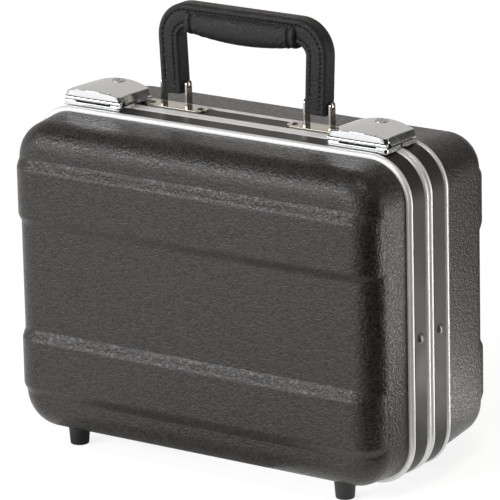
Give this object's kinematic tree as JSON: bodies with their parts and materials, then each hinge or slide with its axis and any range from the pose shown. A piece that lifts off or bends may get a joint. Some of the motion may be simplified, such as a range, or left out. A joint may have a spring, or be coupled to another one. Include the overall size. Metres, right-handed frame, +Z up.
{
  "type": "hard case",
  "caption": "Hard carrying case with two grained shells in bright metal frames, hinged lid, twin key latches and a padded swing handle.",
  "frame": {"origin": "on the floor under the middle of the case's box", "axes": "+X to the case's right seen from the latch side's front, +Y to the rear, +Z up"},
  "size_m": [0.3314, 0.1698, 0.3358],
  "materials": {
    "shell": "leather-like grain",
    "frame": "bright anodised",
    "strip": "smooth dark strip",
    "seal": "solid cord",
    "rivet": "dark dome rivet",
    "foot": "moulded",
    "steel": "zinc plated",
    "chrome": "polished",
    "nickel": "warm nickel",
    "grip": "black wrapped and stitched"
  },
  "bodies": {
    "base": {"rear_shell": "shell", "rear_valance": "frame", "rear_strip": "strip", "seal": "seal", "rivets_rear": "rivet", "feet_rear": "foot", "feet_screws_rear": "steel", "hinge_leaf_rear": "steel", "hinge_pin": "steel", "hinge_rivets_rear": "steel", "handle_mount_left": "nickel", "handle_mount_right": "nickel", "mount_rivets": "nickel", "handle_pins": "nickel", "keeper_rivets": "chrome", "latch_keeper_left": "chrome", "latch_keeper_right": "chrome"},
    "lid": {"front_shell": "shell", "front_valance": "frame", "front_strip": "strip", "rivets_front": "rivet", "feet_front": "foot", "feet_screws_front": "steel", "hinge_leaf_front": "steel", "hinge_rivets_front": "steel", "latch_plate_rivets": "chrome", "latch_plate_left": "chrome", "latch_plate_right": "chrome", "latch_pin_left": "steel", "latch_pin_right": "steel"},
    "handle": {"handle_core": "steel", "handle_grip": "grip"},
    "cover_left": {"latch_cover_left": "chrome", "hook_pin_left": "steel"},
    "hook_left": {"latch_hook_left": "steel"},
    "key_left": {"key_plug_left": "steel"},
    "cover_right": {"latch_cover_right": "chrome", "hook_pin_right": "steel"},
    "hook_right": {"latch_hook_right": "steel"},
    "key_right": {"key_plug_right": "steel"}
  },
  "joints": [
    {"name": "lid_hinge", "type": "hinge", "parent": "base", "child": "lid", "pos_m": [0, -0.0135, 0.00485], "axis": [1, 0, 0], "range_deg": [0, 170]},
    {"name": "handle_swing", "type": "hinge", "parent": "base", "child": "handle", "pos_m": [0, -0.0003, 0.2725], "axis": [1, 0, 0], "range_deg": [-90, 90]},
    {"name": "latch_left", "type": "hinge", "parent": "lid", "child": "cover_left", "pos_m": [-0.116, -0.0317, 0.25935], "axis": [1, 0, 0], "range_deg": [0, 90]},
    {"name": "hook_swing_left", "type": "hinge", "parent": "cover_left", "child": "hook_left", "pos_m": [-0.116, -0.0225, 0.2625], "axis": [1, 0, 0], "range_deg": [-8, 0]},
    {"name": "key_turn_left", "type": "hinge", "parent": "cover_left", "child": "key_left", "pos_m": [-0.116, 0.0005, 0.2646], "axis": [0, 0, 1], "range_deg": [0, 90]},
    {"name": "latch_right", "type": "hinge", "parent": "lid", "child": "cover_right", "pos_m": [0.116, -0.0317, 0.25935], "axis": [1, 0, 0], "range_deg": [0, 90]},
    {"name": "hook_swing_right", "type": "hinge", "parent": "cover_right", "child": "hook_right", "pos_m": [0.116, -0.0225, 0.2625], "axis": [1, 0, 0], "range_deg": [-8, 0]},
    {"name": "key_turn_right", "type": "hinge", "parent": "cover_right", "child": "key_right", "pos_m": [0.116, 0.0005, 0.2646], "axis": [0, 0, 1], "range_deg": [0, 90]}
  ]
}
